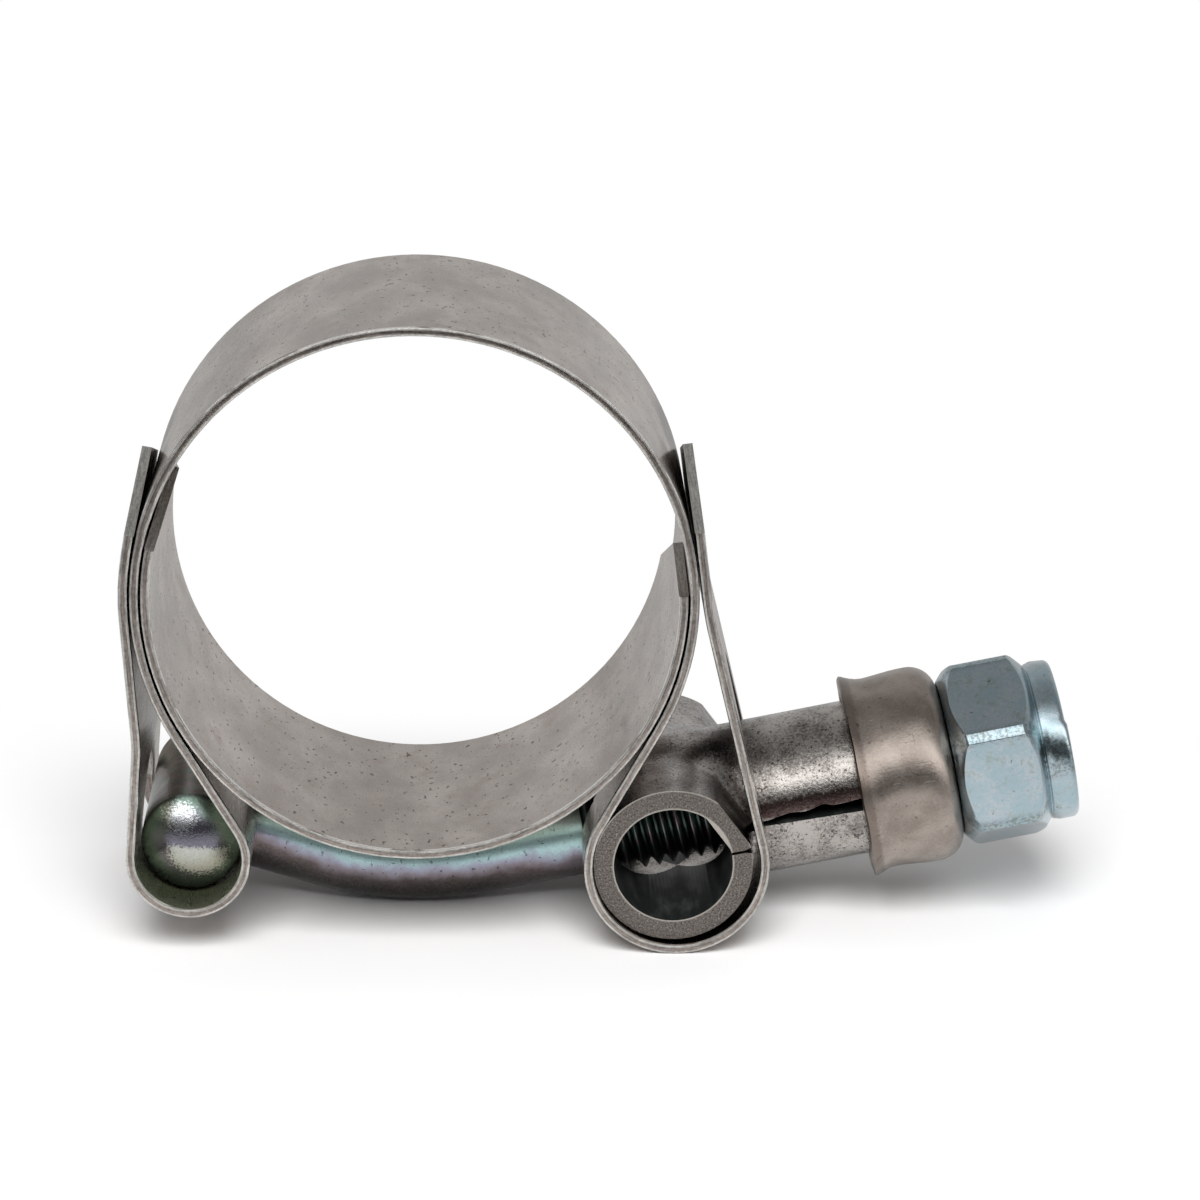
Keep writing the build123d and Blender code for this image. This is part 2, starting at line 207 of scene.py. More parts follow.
# A flat section pushed straight and spun round bends, as on a bending jig
class Strip:
    def __init__(self, name, start, heading, width, thickness, point=0, rounding=0):
        fresh()
        bpy.ops.mesh.primitive_grid_add(x_subdivisions=2, y_subdivisions=1, size=1)
        self.piece = named(name)
        self.place = spot(start)
        self.heading = heading
        self.width = width
        along = ray(heading)
        turned = Matrix((hoseWay, along.cross(hoseWay), along)).transposed().to_4x4()
        size = Matrix.Diagonal((width * mm, thickness * mm, 1, 1))
        lay(self.piece, Matrix.Translation(self.place * mm) @ turned @ size)
        edit()
        pick("verts", lambda vert: abs(vert.co.y) < 0.1 * mm)
        bpy.ops.transform.translate(value=(0, point * mm, 0))
        if rounding:
            pick("verts", lambda vert: abs(vert.co.y) > width * mm / 4)
            bpy.ops.mesh.bevel(offset=rounding * mm, segments=2, affect="VERTICES")
        bpy.ops.mesh.select_mode(type="FACE")
        bpy.ops.mesh.select_all(action="SELECT")
        self.length = 0
        self.marks = []

    def mark(self, length):  # points of the strip's middle line, a step apart, for its finish
        steps = max(1, round(length / stripWork["markStep"]))
        for step in range(steps):
            way = (step + 0.5) / steps
            yield way
            self.length += length / steps

    def run(self, length):
        for way in self.mark(length):
            self.marks.append((self.place + ray(self.heading) * length * way, self.heading, self.length))
        push(ray(self.heading) * length)
        self.place = self.place + ray(self.heading) * length

    def turn(self, radius, angle, step=4):
        side = 1 if angle > 0 else -1
        centre = self.place + ray(self.heading + 90 * side) * radius
        steps = max(2, round(abs(angle) / step))
        for way in self.mark(radians(abs(angle)) * radius):
            heading = self.heading + angle * way
            self.marks.append((centre - ray(heading + 90 * side) * radius, heading, self.length))
        bpy.ops.mesh.spin(steps=steps, angle=radians(angle), center=centre * mm, axis=hoseWay)
        self.heading += angle
        self.place = centre - ray(self.heading + 90 * side) * radius

    def follow(self, *route):  # straight lengths, and bends as a radius, an angle and perhaps a step
        for leg in route:
            if isinstance(leg, tuple):
                self.turn(*leg)
            else:
                self.run(leg)

    def end(self):
        return (self.place.x, self.place.z), self.heading

    def pointed(self, start, heading, height):  # draws the corners of an end back, away from its tip
        reach = self.width * mm / 2 - stripWork["cornerInset"] * mm
        tip = spot(start) * mm

        def corner(vert, side):
            off = hypot(vert.co.x - tip.x, vert.co.z - tip.z)
            return vert.co.y * side > reach and off < stripWork["tipReach"] * mm

        for side in (-1, 1):
            pick("verts", lambda vert: corner(vert, side))
            bpy.ops.transform.translate(value=ray(heading) * -height * mm)

    def finish(self):
        outwards()
        if bmesh.from_edit_mesh(self.piece.data).calc_volume(signed=True) < 0:
            bpy.ops.mesh.flip_normals()
        done()
        return self.piece

    def stamp(self):  # each point's place along the strip and through its thickness, in millimetres
        self.tree = kdtree.KDTree(len(self.marks))
        for index, (place, heading, length) in enumerate(self.marks):
            self.tree.insert(place, index)
        self.tree.balance()

        def lie(vert):
            off, heading, length = self.nearest(vert.co)
            return (length + off.dot(ray(heading)), off.dot(ray(heading + 90)), vert.co.y / mm)

        stamp(self.piece, "lie", lie)

    def nearest(self, point):
        flat = Vector((point.x, 0, point.z)) / mm
        place, heading, length = self.marks[self.tree.find(flat)[1]]
        return flat - place, heading, length

    def finishOf(self, face):
        heading = self.nearest(face.center)[1]
        flat = abs(face.normal.dot(ray(heading + 90)))
        if flat > stripWork["flat"]:
            return "strip"
        if flat > stripWork["rim"]:
            return "rim"
        return "edge" if abs(face.normal.y) > stripWork["edge"] else "shear"

    def dress(self):
        sound(self.piece)
        self.stamp()
        tests = ((name, lambda face, name=name: self.finishOf(face) == name) for name in ("rim", "edge", "shear"))
        paint(self.piece, "strip", *tests)
        shade(self.piece)


# A slot with round ends, which go on before and beyond the bend
def slot(piece, start, heading, bend, width, before, beyond):
    depth = stripWork["slotDepth"]
    sweep = Strip("slotCutter", start, heading, width, depth)
    sweep.turn(*bend[:2])
    if beyond > 0:
        sweep.run(beyond)
    last = sweep.place - ray(sweep.heading) * max(beyond, 0)
    ends = ((spot(start), heading, -before), (last, sweep.heading, beyond))
    cutter = sweep.finish()
    for place, way, reach in ends:
        fresh()
        bpy.ops.mesh.primitive_cylinder_add(vertices=48, radius=width / 2 * mm, depth=depth * mm)
        lay(bpy.context.object, facing(place + ray(way) * reach, hoseWay, ray(way - 90).cross(hoseWay)))
        combine(cutter, bpy.context.object, "UNION")
    combine(piece, cutter, "DIFFERENCE")


class Wire:  # a shader socket that can be used in sums
    def __init__(self, tree, socket=None):
        self.tree = tree
        self.socket = socket

    def node(self, kind, inputs=None, out=0, **settings):
        made = self.tree.nodes.new("ShaderNode" + kind)
        for key, value in settings.items():
            if key == "stops":
                ramp = made.color_ramp
                while len(ramp.elements) < len(value):
                    ramp.elements.new(1)
                for element, (place, colour) in zip(ramp.elements, value):
                    element.position = place
                    element.color = (*colour, 1) if isinstance(colour, tuple) else (colour, colour, colour, 1)
            else:
                setattr(made, key, value)
        for key, value in (inputs or {}).items():
            if isinstance(value, Wire):
                self.tree.links.new(value.socket, made.inputs[key])
            else:
                made.inputs[key].default_value = value
        return Wire(self.tree, made.outputs[out]) if made.outputs else None

    def sum(self, operation, first, second=0.0):
        return self.node("Math", {0: first, 1: second}, operation=operation)

    def __add__(self, other):
        return self.sum("ADD", self, other)

    def __sub__(self, other):
        return self.sum("SUBTRACT", self, other)

    def __rsub__(self, other):
        return self.sum("SUBTRACT", other, self)

    def __mul__(self, other):
        return self.sum("MULTIPLY", self, other)

    def __truediv__(self, other):
        return self.sum("DIVIDE", self, other)

    def __pow__(self, other):
        return self.sum("POWER", self, other)

    __radd__ = __add__
    __rmul__ = __mul__

    def atMost(self, other):
        return self.sum("MINIMUM", self, other)

    def atLeast(self, other):
        return self.sum("MAXIMUM", self, other)

    def size(self):
        return self.sum("ABSOLUTE", self)

    def band(self, low, high):  # 0 below low, 1 above high, eased between
        inputs = {"Value": self, "From Min": low, "From Max": high}
        return self.node("MapRange", inputs, interpolation_type="SMOOTHSTEP")

    def dot(self, way):
        return self.node("VectorMath", {0: self, 1: way}, operation="DOT_PRODUCT", out="Value")

    def far(self):
        return self.node("VectorMath", {0: self}, operation="LENGTH", out="Value")

    def part(self, axis):
        return self.node("SeparateXYZ", {0: self}, out=axis)

    def scaled(self, by):
        return self.node("VectorMath", {0: self, 1: by}, operation="MULTIPLY")

    def moved(self, by):
        return self.node("VectorMath", {0: self, 1: by}, operation="ADD")

    def noise(self, scale, detail=3.0, roughness=0.55):
        return self.node("TexNoise", {"Vector": self, "Scale": scale, "Detail": detail, "Roughness": roughness})

    def mixed(self, first, second):  # this value sets how much of the second colour shows
        return self.node("Mix", {0: self, 6: first, 7: second}, out=2, data_type="RGBA")

    def ramp(self, stops):
        return self.node("ValToRGB", {0: self}, stops=stops)


def rgb(red, green, blue):
    return (red, green, blue, 1)


def newMaterial(name, makeSurface, look):
    material = bpy.data.materials.new(name)
    material.use_nodes = True
    material.node_tree.nodes.clear()
    wire = Wire(material.node_tree)
    wire.node("OutputMaterial", {"Surface": makeSurface(wire, look)})
    return material


def metal(wire, colour, roughness, height=None, strength=0, depth=0):
    inputs = {"Base Color": colour, "Metallic": 1.0, "Roughness": roughness}
    if height is not None:
        inputs["Normal"] = wire.node("Bump", {"Strength": strength, "Distance": depth * mm, "Height": height})
    return wire.node("BsdfPrincipled", inputs)


def placeInMm(wire):
    return wire.node("TexCoord", out="Object").scaled((1 / mm, 1 / mm, 1 / mm))


def awayFrom(place, point):
    return place.moved((-point.x, 0, -point.z))


def sideFrom(place, point):  # how far away a point is in the side view
    return awayFrom(place.scaled((1, 0, 1)), point).far()


def stamped(wire, name):
    return wire.node("Attribute", out="Vector", attribute_name=name)


stripLook = {
    "dark": rgb(0.39, 0.346, 0.312),
    "light": rgb(0.615, 0.557, 0.51),
    "stain": rgb(0.10, 0.08, 0.068),
    "brown": rgb(0.38, 0.305, 0.26),
    "leg": rgb(0.15, 0.118, 0.10),  # painted shade on the legs' inner sides
    "olive": rgb(0.50, 0.465, 0.38),  # painted reflection inside the loop round the head
    "rim": rgb(0.88, 0.85, 0.82),
    "roughness": 0.22,
    "rimRoughness": 0.12,
    "welds": ((-16.2, 4.6, 4.6), (15.4, 7.6, 4.6), (13.7, -8.2, 2.4)),  # x, z and the stain's reach
    "weldRow": 4.8,  # on both sides of the strip's middle
}


def brushedStrip(wire, look):
    place = placeInMm(wire)
    strokes = place.scaled((2.2, 0.5, 2.2)).noise(1.0, 4.0, 0.62)
    fine = place.scaled((7.0, 3.0, 7.0)).noise(1.0, 3.0, 0.6)
    cloud = place.scaled((0.7, 0.4, 0.7)).noise(0.42, 4.0, 0.6)
    specks = (place.scaled((1.0, 0.7, 1.0)).noise(3.1, 1.0, 0.5) + cloud * 0.2).band(0.795, 0.81)
    marks = place.scaled((2.2, 0.7, 2.2)).noise(1.3, 4.0, 0.7).band(0.66, 0.70)
    rust = place.scaled((0.6, 0.5, 0.6)).noise(0.8, 4.0, 0.7).band(0.52, 0.70)
    tone = strokes * 0.08 + fine * 0.22 + cloud * 0.7
    colour = tone.band(0.34, 0.72).mixed(look["dark"], look["light"])
    colour = (rust * 0.6).mixed(colour, look["brown"])
    fromAxis = place.scaled((1, 0, 1)).far()
    inside = stamped(wire, "lie").part(1).band(-0.05, 0.05)  # the loops' and legs' inner sides, for painted shade and a painted reflection
    # painted shade: the legs' inner sides are darkened
    colour = (inside * fromAxis.band(17.35, 18.2) * 0.8).mixed(colour, look["leg"])
    fromHead = sideFrom(place, headPoint)
    # painted reflection: the loop's inner side round the head is tinted
    colour = (inside * (1.0 - fromHead.band(4.2, 5.2)) * 0.9).mixed(colour, look["olive"])
    scorch = 0.0
    for x, z, reach in look["welds"]:
        flat = sideFrom(place, spot((x, z)))
        near = (flat ** 2.0 + ((place.part(1).size() - look["weldRow"]) * 0.6) ** 2.0) ** 0.5
        scorch = 1.0 - (near + cloud * 3.0).band(reach - 1.5, reach) + scorch
    colour = (specks * 0.9 + marks * 0.4 + scorch * 0.75).atMost(0.9).mixed(colour, look["stain"])
    roughness = look["roughness"] + strokes * 0.12
    height = strokes * 0.3 + fine * 0.3 + cloud * 0.4 - specks * 0.8
    return metal(wire, colour, roughness, height, 0.35, 0.012)


edgeLook = {
    "dark": rgb(0.17, 0.145, 0.13),
    "light": rgb(0.41, 0.36, 0.33),
    "rim": rgb(0.42, 0.375, 0.345),
    "roughness": 0.33,
}
shearLook = {
    "dark": rgb(0.33, 0.325, 0.305),
    "light": rgb(0.70, 0.68, 0.645),
    "rim": rgb(0.55, 0.52, 0.48),
    "roughness": 0.36,
}


def cutEdge(wire, look):
    lie = stamped(wire, "lie")
    grain = lie.scaled((0.8, 11.0, 1.0)).noise(1.0, 3.0, 0.6)
    speck = placeInMm(wire).noise(5.0, 3.0, 0.7)
    # painted highlight: the cut face is lighter towards its corners, beside the rounded rim
    rim = lie.part(1).size().band(0.2, 0.29)
    colour = (grain * 0.6 + speck * 0.4).band(0.34, 0.66).mixed(look["dark"], look["light"])
    colour = (rim * 0.45).mixed(colour, look["rim"])
    return metal(wire, colour, look["roughness"] + grain * 0.12, grain * 0.6 + speck * 0.4, 0.5, 0.02)


def brightRim(wire, look):
    wear = placeInMm(wire).noise(0.35, 3.0, 0.6).band(0.38, 0.5)
    return metal(wire, wear.mixed(look["dark"], look["rim"]), look["rimRoughness"])


trunnionLook = {
    "dark": rgb(0.19, 0.172, 0.16),
    "light": rgb(0.46, 0.432, 0.405),
    "stain": rgb(0.02, 0.013, 0.012),
    "burnt": rgb(0.06, 0.028, 0.026),
    "burntHeight": 0.75,
}


def rolledSteel(wire, look):
    place = placeInMm(wire)
    grain = place.noise(6.0, 3.0, 0.7)
    cloud = place.noise(0.5, 3.0, 0.5)
    specks = place.noise(4.2, 2.0, 0.7).band(0.60, 0.63)
    away = awayFrom(place, trunnionPoint)
    reach, lift = away.dot(boltWay), away.dot(boltUp)
    fromSlitReflection = (lift - look["burntHeight"] + (grain - 0.5) * 0.8).size()  # a painted dark reflection, a line above the slit on the near side
    onStem = reach.band(5.2, 6.0) * (1.0 - place.part(1).band(-1.0, 0.0))
    burnt = (1.0 - fromSlitReflection.band(0.35, 0.62)) * onStem
    root = 1.0 - (reach - 5.0).size().band(0.2, 2.6)
    stain = (root * cloud.band(0.42, 0.60) * 0.8 + specks * 0.7).atMost(0.9)
    colour = (grain * 0.5 + cloud * 0.5).band(0.40, 0.58).mixed(look["dark"], look["light"])
    colour = (burnt * 0.85).mixed(stain.mixed(colour, look["stain"]), look["burnt"])
    return metal(wire, colour, 0.14 + grain * 0.12 + stain * 0.2, grain, 0.55, 0.03)


sawnLook = {
    "dark": rgb(0.06, 0.053, 0.048),
    "light": rgb(0.27, 0.242, 0.22),
    "burr": rgb(0.62, 0.58, 0.53),
    "roughness": 0.36,
}


def sawnFace(wire, look):
    place = placeInMm(wire)
    grain = place.noise(8.0, 4.0, 0.75)
    fleck = place.noise(9.0, 2.0, 0.6).band(0.60, 0.68)
    radius = sideFrom(place, trunnionPoint)
    # painted highlight along the top of the outer edge; the light line round the inner edge is the burr
    topEdgeHighlight = radius.band(4.84, 4.94) * place.part(2).band(trunnionPoint.z, trunnionPoint.z + 2)
    burr = 1.0 - radius.band(3.72, 3.84) + topEdgeHighlight
    colour = grain.band(0.30, 0.70).mixed(look["dark"], look["light"])
    colour = (fleck * 0.6 + burr * 0.7).atMost(0.9).mixed(colour, look["burr"])
    return metal(wire, colour, look["roughness"] + grain * 0.16, grain, 0.7, 0.03)


boreLook = {"dark": rgb(0.015, 0.018, 0.017), "light": rgb(0.06, 0.065, 0.06), "roughness": 0.45}


# painted shade: the bore's and the slit's faces are painted near black, for the shade inside the barrel
def paintedBoreShade(wire, look):
    smear = placeInMm(wire).scaled((1.0, 0.35, 1.0)).noise(1.1, 3.0, 0.6)
    colour = smear.band(0.45, 0.75).mixed(look["dark"], look["light"])
    return wire.node("BsdfPrincipled", {"Base Color": colour, "Metallic": 0.35, "Roughness": look["roughness"]})


threadLook = {
    "root": rgb(0.07, 0.10, 0.088),
    "green": rgb(0.17, 0.25, 0.22),
    "pink": rgb(0.30, 0.25, 0.27),
    "roughness": 0.36,
}


# painted shade: the thread is dark, darkest in its roots, for the shade inside the barrel; the green and pink tints
# are the zinc's film
def zincThread(wire, look):
    place = awayFrom(placeInMm(wire), trunnionPoint)
    radius = (place.dot(boltUp) ** 2.0 + place.part(1) ** 2.0) ** 0.5
    tint = place.noise(0.9, 2.0).band(0.4, 0.6).mixed(look["green"], look["pink"])
    return metal(wire, radius.band(2.75, 3.13).mixed(look["root"], tint), look["roughness"])


# The film's colours with painted shade run from the dark underside to the top, the head's tints lie in patches
zincLook = {
    "base": rgb(0.22, 0.25, 0.24),
    "speck": rgb(0.04, 0.03, 0.03),
    "roughness": 0.22,
    "film": (
        (0.0, (0.025, 0.022, 0.022)),
        (0.25, (0.06, 0.05, 0.048)),
        (0.38, (0.12, 0.095, 0.095)),
        (0.46, (0.25, 0.215, 0.25)),
        (0.52, (0.34, 0.36, 0.45)),
        (0.58, (0.42, 0.60, 0.62)),
        (0.72, (0.52, 0.76, 0.70)),
        (0.82, (0.50, 0.55, 0.60)),
        (0.90, (0.34, 0.42, 0.33)),
        (1.0, (0.22, 0.23, 0.15)),
    ),
    "headTint": (
        (0.36, (0.10, 0.12, 0.09)),
        (0.48, (0.17, 0.12, 0.11)),
        (0.56, (0.26, 0.19, 0.21)),
        (0.66, (0.16, 0.24, 0.18)),
    ),
}


def zincPlate(wire, look):
    place = placeInMm(wire)
    drift = place.noise(0.5, 3.0, 0.6)
    grain = place.noise(6.0, 3.0, 0.65)
    # painted shade: the ramp darkens the underside and lightens the upper side, over the zinc's film colours
    film = (stamped(wire, "film").part(2) * 0.46 + 0.5 + (drift - 0.5) * 0.25).ramp(look["film"])
    colour = (grain.band(0.35, 0.75) * 0.25).mixed(film, look["base"])
    nearHead = 1.0 - sideFrom(place, headPoint).band(3.4, 4.6)
    tint = place.noise(0.7, 2.0, 0.5).ramp(look["headTint"])
    colour = (nearHead * 0.85).mixed(colour, tint)
    specks = place.noise(3.4, 2.0, 0.6).band(0.66, 0.69)
    colour = (specks * 0.6).mixed(colour, look["speck"])
    return metal(wire, colour, look["roughness"] + grain * 0.16, grain, 0.35, 0.02)


domeLook = {
    "middle": rgb(0.17, 0.165, 0.20),
    "ring": rgb(0.15, 0.21, 0.175),
    "edge": rgb(0.05, 0.06, 0.055),
    "low": rgb(0.09, 0.12, 0.10),
    "patch": rgb(0.68, 0.71, 0.65),
    "glint": rgb(0.90, 0.93, 0.95),
    "stain": rgb(0.07, 0.075, 0.08),
    "roughness": 0.12,
}


def headDome(wire, look):
    place = awayFrom(placeInMm(wire), headPoint)
    across, height = place.part(0), place.part(2)
    out = (across ** 2.0 + height ** 2.0) ** 0.5
    drift = place.noise(0.8, 3.0, 0.6)
    grain = place.noise(7.0, 3.0, 0.7)
    ring = (out + (drift - 0.5) * 1.6).band(1.5, 2.7)
    colour = ring.mixed(look["middle"], look["ring"])
    colour = out.band(2.85, 3.1).mixed(colour, look["edge"])
    # painted reflection of the floor on the dome's lower middle, where it is flatter
    low = ((across - 0.45) ** 2.0 * 0.8 + (height + 0.25) ** 2.0) ** 0.5
    under = 1.0 - (height + (grain - 0.5) * 1.3).band(-0.2, 0.1)
    patch = (1.0 - (low + (grain - 0.5) * 2.4).band(1.35, 1.8)) * under
    # painted shade: darker on the dome's lower part
    colour = (1.0 - height.band(-2.6, -1.2)).mixed(colour, look["low"])
    colour = (patch * (grain.band(0.3, 0.6) * 0.4 + 0.6)).mixed(colour, look["patch"])
    # painted highlight on the dome's upper left
    high = ((across + 0.75) ** 2.0 + (height - 1.75) ** 2.0 * 1.6) ** 0.5
    glint = 1.0 - (high + (grain - 0.5) * 2.2).band(0.5, 1.3)
    colour = (glint * 0.8).mixed(colour, look["glint"])
    colour = ((grain - 0.1).band(0.42, 0.62) * 0.45).mixed(colour, look["stain"])
    return metal(wire, colour, look["roughness"] + grain * 0.12 + patch * 0.25, grain, 0.5, 0.03)


nutLook = {
    "blue": rgb(0.35, 0.455, 0.50),
    "haze": rgb(0.46, 0.51, 0.55),
    "bloom": rgb(0.30, 0.37, 0.34),
    "dark": rgb(0.14, 0.17, 0.17),
    "roughness": 0.14,
    "hexFade": (5.3, 5.7),  # from the cap's face
    "wornAngle": 8,  # where the collar's painted dark reflection lies
}


def zincNut(wire, look):
    place = placeInMm(wire)
    grain = place.noise(4.5, 4.0, 0.7)
    cloud = place.noise(0.55, 3.0, 0.55)
    pits = place.noise(2.8, 2.0, 0.55).band(0.70, 0.73)
    colour = (grain * 0.5 + cloud * 0.5).band(0.42, 0.62).mixed(look["blue"], look["haze"])
    bloom = place.noise(1.1, 4.0, 0.7).band(0.52, 0.66)
    colour = (bloom * 0.7).mixed(colour, look["bloom"])
    away = awayFrom(place, trunnionPoint)
    turned = wire.sum("ARCTAN2", away.dot(boltUp), 0.0 - away.part(1))
    corner = (wire.sum("FRACT", turned / radians(60) + 6.0) - 0.5).size() * 60
    onHexagon = 1.0 - away.dot(boltWay).band(*(layout["capReach"] + end for end in look["hexFade"]))
    wear = (1.0 - corner.band(2.0, 6.5)) * onHexagon
    # painted reflection: a dark band on the collar's front side, speckled by the cloud
    fromCollarReflection = (turned / radians(1) - look["wornAngle"] + (cloud - 0.5) * 30).size()
    collarReflection = (1.0 - fromCollarReflection.band(7, 20)) * (1.0 - onHexagon)
    # the hexagon's worn corners and the collar's painted reflection darken together
    wear = wear + collarReflection * 1.1
    colour = (wear * grain.band(0.42, 0.6) * 0.75 + pits).atMost(0.9).mixed(colour, look["dark"])
    return metal(wire, colour, look["roughness"] + grain * 0.14, grain, 0.35, 0.02)


capLook = {
    "dark": rgb(0.25, 0.212, 0.186),
    "light": rgb(0.39, 0.34, 0.303),
    "stain": rgb(0.11, 0.08, 0.065),
    "roughness": 0.24,
}


def satinCap(wire, look):
    place = placeInMm(wire)
    grain = place.noise(6.5, 3.0, 0.65)
    cloud = place.noise(0.5, 3.0, 0.5)
    reach = place.dot(boltWay)
    lift = place.dot(boltUp)
    drawn, rings = (  # scratches along the cup from drawing it, and round it from the tool
        place.node("CombineXYZ", {0: reach * down, 1: lift * side, 2: place.part(1) * side}).noise(1.0, 2.0, 0.6)
        for down, side in ((0.25, 7.0), (9.0, 0.35))
    )
    scratch = drawn.band(0.70, 0.74).atLeast(rings.band(0.70, 0.74))
    colour = (grain * 0.35 + cloud * 0.65).band(0.34, 0.66).mixed(look["dark"], look["light"])
    spots = place.noise(2.6, 2.0, 0.6).band(0.68, 0.72)
    fromRim = reach - trunnionPoint.dot(boltWay) - (layout["capReach"] - layout["capLength"])
    # painted reflection: darker towards the flared rim
    flare = 1.0 - (fromRim + (grain - 0.5) * 0.2).band(0.55, 0.85)
    colour = (spots * 0.6 + scratch * 0.35 + flare * 0.5).atMost(0.8).mixed(colour, look["stain"])
    height = grain * 0.8 + drawn * 0.2 - scratch * 0.8
    return metal(wire, colour, look["roughness"] + grain * 0.12, height, 0.5, 0.025)


finishes = {
    "strip": newMaterial("brushedStrip", brushedStrip, stripLook),
    "rim": newMaterial("stripRim", brightRim, stripLook),
    "edge": newMaterial("stripCutEdge", cutEdge, edgeLook),
    "shear": newMaterial("stripShearedTip", cutEdge, shearLook),
    "trunnion": newMaterial("rolledSteel", rolledSteel, trunnionLook),
    "sawn": newMaterial("sawnSteel", sawnFace, sawnLook),
    "bore": newMaterial("paintedBoreShade", paintedBoreShade, boreLook),
    "zinc": newMaterial("zincBolt", zincPlate, zincLook),
    "dome": newMaterial("zincHead", headDome, domeLook),
    "thread": newMaterial("zincThread", zincThread, threadLook),
    "nut": newMaterial("zincNut", zincNut, nutLook),
    "cap": newMaterial("satinNickel", satinCap, capLook),
}
print("finishes made")


def paint(piece, first, *others):  # others are pairs of a finish and the test for its faces
    piece.data.materials.clear()
    for finish in (first, *(name for name, test in others)):
        piece.data.materials.append(finishes[finish])
    for face in piece.data.polygons:
        face.material_index = 0
        for index, (name, test) in enumerate(others):
            if test(face):
                face.material_index = index + 1


# The band is one strip: a tail, the loop round the head, the ring, the loop round the trunnion, a tail
bandCut = {
    "thickness": 0.6,
    "rounding": 0.18,
    "tip": (-17.06, 6.666),
    "heading": -95.5,
    "pointOffset": -3.0,
    "pointHeight": 3.8,
    "tipRun": 5.0,
    "headTail": ((17.62, 14.0), 7.419, (10.0, -8.5), 6.31),
    "headLoop": (3.57, 214.99, 6),
    "ring": (7.273, (16.96, -239.36, 3), 7.172),
    "stemLoop": (5.5, 222.64, 5),
    "stemTail": (14.618, (14.0, -6.27, 2), 8.533),
    "headSlot": (7.6, -0.6, -1.4),  # its width, and how far it goes on before and beyond the loop
    "stemSlot": (10.6, -1.5, 4.2),
}


def sheet(name, start, heading, cut):
    return Strip(name, start, heading, layout["bandWidth"], cut["thickness"], cut["pointOffset"], cut["rounding"])


band = sheet("bandStrip", bandCut["tip"], bandCut["heading"], bandCut)
band.run(bandCut["tipRun"])
band.pointed(bandCut["tip"], bandCut["heading"] + 180, bandCut["pointHeight"])


def runEnd(face):  # the end of the first straight run, which goes on into the bend
    off = face.calc_center_median() - band.place * mm
    return face.normal.dot(ray(bandCut["heading"])) > 0.99 and off.length < 8 * mm


pick("faces", runEnd)
band.follow(*bandCut["headTail"])
headLoop = band.end()
band.follow(bandCut["headLoop"], *bandCut["ring"])
stemLoop = band.end()
band.follow(bandCut["stemLoop"], *bandCut["stemTail"])
band.pointed(*band.end(), bandCut["pointHeight"])
bandPiece = band.finish()
slot(bandPiece, *headLoop, bandCut["headLoop"], *bandCut["headSlot"])
slot(bandPiece, *stemLoop, bandCut["stemLoop"], *bandCut["stemSlot"])
band.dress()
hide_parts("band")
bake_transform(bandPiece)
print("band bent")

# The bridge is the thin liner under the ring's gap
bridgeCut = {
    "thickness": 0.6,
    "rounding": 0.18,
    "radius": 16.3,
    "leftEnd": 159.5,
    "rightEnd": 12.0,
    "pointOffset": -3.5,
    "leftPoint": 3.8,
    "nearPoint": 1.6,
    "farPoint": 5.0,
    "ease": 6,
}
bridgeStart = ray(bridgeCut["leftEnd"]) * bridgeCut["radius"]
bridge = sheet("bridgeStrip", (bridgeStart.x, bridgeStart.z), bridgeCut["leftEnd"] + 90, bridgeCut)
bridge.turn(bridgeCut["radius"], 360 + bridgeCut["rightEnd"] - bridgeCut["leftEnd"], 3)
bridgePiece = bridge.finish()


def drawBack(angle, side, near, far):  # an end's corners go back round the bend, as a point is sheared
    for edge, height in ((-1, near), (1, far)):
        middle = bridgeCut["pointOffset"] * mm
        reach = layout["bandWidth"] / 2 * mm - edge * middle
        sweep = degrees(height / bridgeCut["radius"])
        room = sweep + bridgeCut["ease"]
        for vert in bridgePiece.data.vertices:
            turned = (degrees(atan2(vert.co.z, vert.co.x)) - angle + 180) % 360 - 180
            inside = -turned * side
            across = max(0.0, (vert.co.y - middle) * edge) / reach
            if across and -1 < inside < room:
                step = sweep * across * (1 - inside / room)
                vert.co = Matrix.Rotation(radians(step * side), 4, "Y") @ vert.co


drawBack(bridgeCut["leftEnd"], -1, bridgeCut["leftPoint"], bridgeCut["leftPoint"])
drawBack(bridgeCut["rightEnd"], 1, bridgeCut["nearPoint"], bridgeCut["farPoint"])
bridge.dress()
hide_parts("bridge")
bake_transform(bridgePiece)
print("bridge bent")

# The T-bolt: a forged head, a bent shank and a rolled thread
boltCut = {
    "headRadius": 3.15,
    "headLength": 14.6,
    "dome": 1.1,
    "domeRings": 7,
    "domeTip": 0.04,
    "domeStart": 6.25,
    "shankRadius": 2.85,
    "shankHeading": -12.6,
    "bendRadius": 19.5,
    "threadRadius": 3.175,
    "pitch": 0.907,
    "threadDepth": 0.6134,  # of the pitch
    "threadSoft": 0.04,
    "threadSteps": 30,
    "threadStart": -5.6,
    "overlap": 0.2,  # of the shank in the thread
    "threadEnd": 25.35,
    "chamfer": 0.6,
}


